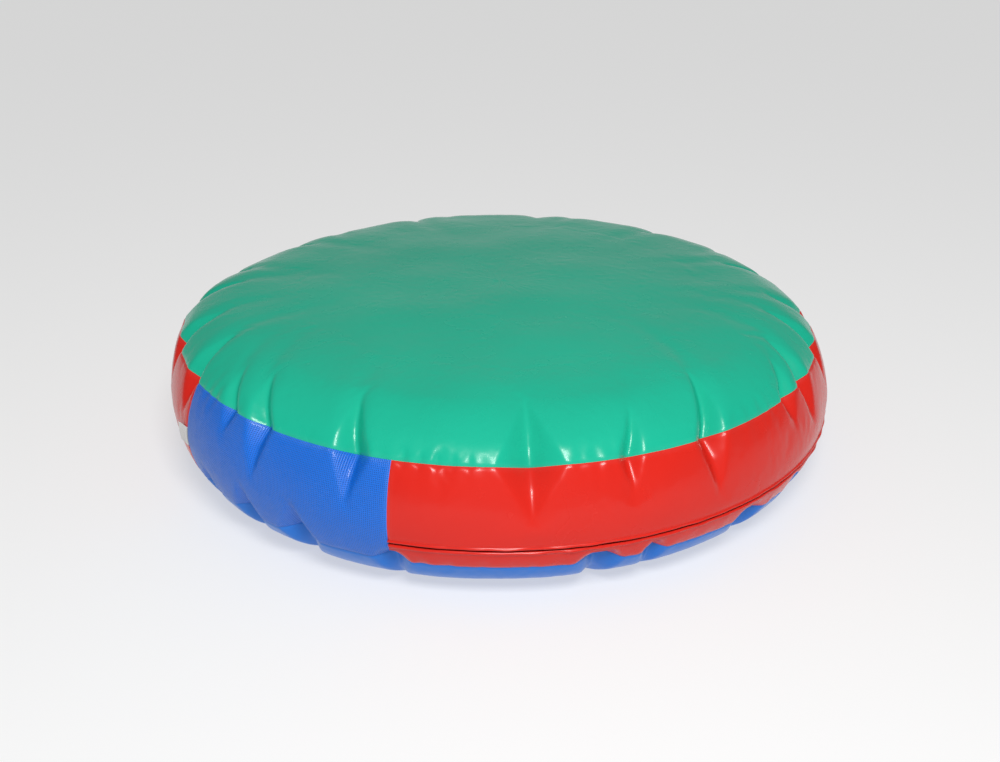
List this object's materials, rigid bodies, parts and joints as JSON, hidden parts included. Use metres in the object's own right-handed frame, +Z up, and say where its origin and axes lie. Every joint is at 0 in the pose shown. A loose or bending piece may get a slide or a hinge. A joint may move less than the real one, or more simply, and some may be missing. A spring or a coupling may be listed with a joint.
{
  "type": "round floor cushion",
  "caption": "Large round low floor cushion with a domed top, a bulging side band with a mesh vent panel and a zip along its lower edge, an inner bag and a foam filling.",
  "frame": {"origin": "on the floor under the middle of the cushion, at the bottom centre of its box", "axes": "+Z up, -Y towards the front, where the vent panel meets the zipped panel, +X to the right seen from the front"},
  "size_m": [1.3049, 1.305, 0.335],
  "materials": {
    "top_fabric": "smooth semi-gloss coated fabric, green",
    "side_fabric": "smooth semi-gloss coated fabric, red",
    "base_fabric": "smooth semi-gloss coated fabric, blue",
    "vent_mesh": "coated open-mesh weave, blue",
    "thread": "bonded polyester thread",
    "zip_tape": "woven polyester tape",
    "zip_coil": "nylon coil",
    "zip_metal": "plain nickel-plated metal",
    "label": "plain satin ribbon",
    "liner_cloth": "plain woven cotton",
    "foam": "crumbled soft foam"
  },
  "bodies": {
    "cushion": {"top_panel": "top_fabric", "side_panel_front": "side_fabric", "side_panel_back": "side_fabric", "vent_panel": "vent_mesh", "zip_facing": "side_fabric", "base_panel": "base_fabric", "zip_topstitching": "thread", "zip_tape_upper": "zip_tape", "zip_tape_lower": "zip_tape", "zip_coil_upper": "zip_coil", "zip_coil_lower": "zip_coil", "zip_top_stops": "zip_metal", "zip_bottom_stop": "zip_metal", "side_label": "label", "liner_top": "liner_cloth", "liner_side": "liner_cloth", "liner_base": "liner_cloth", "foam_filling": "foam"},
    "slider": {"zip_slider": "zip_metal"},
    "puller": {"zip_puller": "zip_metal"}
  },
  "joints": [
    {"name": "zip_travel", "type": "hinge", "parent": "cushion", "child": "slider", "pos_m": [0, 0, 0], "axis": [0, 0, -1], "range_deg": [0, 131.6]},
    {"name": "puller_swing", "type": "hinge", "parent": "slider", "child": "puller", "pos_m": [0.58113, 0.29366, 0.11478], "axis": [0.1612, 0.0814, 0.9836], "range_deg": [0, 180]}
  ]
}
